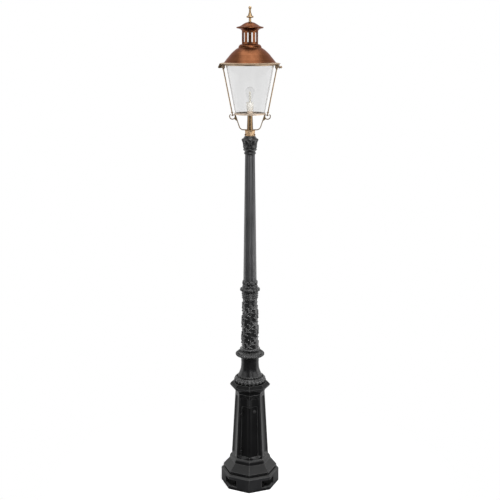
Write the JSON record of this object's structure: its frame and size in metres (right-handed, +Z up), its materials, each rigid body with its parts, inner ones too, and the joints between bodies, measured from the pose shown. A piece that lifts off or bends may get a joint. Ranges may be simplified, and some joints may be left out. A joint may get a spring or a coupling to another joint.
{
  "type": "lamp post",
  "caption": "Ornate cast lamp post with octagonal pedestal, access door and fluted shaft, and a conical glass lantern with a hinged copper roof and vented chimney",
  "frame": {"origin": "On the ground at the centre of the anchor bolt circle, on the post's axis", "axes": "+Z up the post; -Y towards the front corner with the access door; +X towards the lantern's latch"},
  "size_m": [0.4154, 0.412, 3.3081],
  "materials": {
    "cast_black": "satin",
    "brass": "satin",
    "copper_sheet": "satin",
    "steel": "satin",
    "clear_glass": "gloss",
    "rubber": "matte",
    "porcelain": "gloss",
    "grey_plastic": "matte",
    "nickel": "satin",
    "filament": "matte"
  },
  "bodies": {
    "post": {"base_plinth": "cast_black", "pedestal": "cast_black", "cornice": "cast_black", "leaf_ring": "cast_black", "neck_bell": "cast_black", "joint_disc": "cast_black", "column": "cast_black", "column_collar": "cast_black", "shaft": "cast_black", "capital": "cast_black", "lantern_socket": "brass", "lantern_stem": "brass", "yoke_arm_left": "brass", "yoke_arm_right": "brass", "bottom_gallery": "brass", "top_ring": "brass", "tie_rod_left": "brass", "tie_rod_right": "brass", "rod_nuts": "brass", "hinge_leaf_fixed": "brass", "roof_hinge_pin": "brass", "latch_stud": "brass", "socket_screws": "brass", "core_tube": "steel", "flange_bolts": "steel", "base_bolts": "steel", "door_hinge_pins": "steel", "gear_board": "steel", "board_screws": "steel", "cover_screws": "steel", "holder_nipple": "steel", "nipple_nut": "steel", "earth_stud": "brass", "glass_cone": "clear_glass", "top_gasket": "rubber", "bottom_gasket": "rubber", "lampholder": "porcelain", "terminal_box": "grey_plastic", "terminal_cover": "grey_plastic", "cable_glands": "grey_plastic", "holder_shell": "nickel", "holder_contact": "nickel"},
    "door": {"access_door": "cast_black"},
    "lock": {"door_lock": "cast_black"},
    "roof": {"roof_brim": "brass", "roof_dome": "copper_sheet", "chimney_collar": "copper_sheet", "chimney": "copper_sheet", "chimney_flare": "copper_sheet", "chimney_cap": "copper_sheet", "finial": "brass", "finial_stud": "steel", "chimney_bridge": "steel", "stud_nut": "steel", "hinge_leaf_roof": "brass", "latch_hasp": "brass"},
    "latch_nut": {"wing_nut": "brass"},
    "bulb": {"bulb_cap": "nickel", "bulb_glass": "clear_glass", "bulb_filament": "filament"}
  },
  "joints": [
    {"name": "access_door_swing", "type": "hinge", "parent": "post", "child": "door", "pos_m": [-0.05882, -0.09759, 0.27694], "axis": [-0.0195, -0.0471, -0.9987], "range_deg": [0, 110]},
    {"name": "door_lock_turn", "type": "hinge", "parent": "door", "child": "lock", "pos_m": [0.03367, -0.08781, 0.565], "axis": [0.3827, -0.9239, 0], "range_deg": [0, 90]},
    {"name": "roof_hinge", "type": "hinge", "parent": "post", "child": "roof", "pos_m": [-0.1997, 0, 2.9274], "axis": [0, -1, 0], "range_deg": [0, 105]},
    {"name": "wing_nut_turn", "type": "hinge", "parent": "post", "child": "latch_nut", "pos_m": [0.1923, 0, 2.927], "axis": [1, 0, 0], "range_deg": [0, 1080]},
    {"name": "bulb_turn", "type": "hinge", "parent": "post", "child": "bulb", "pos_m": [0, 0, 2.6699], "axis": [0, 0, 1], "range_deg": [0, 1080]}
  ]
}
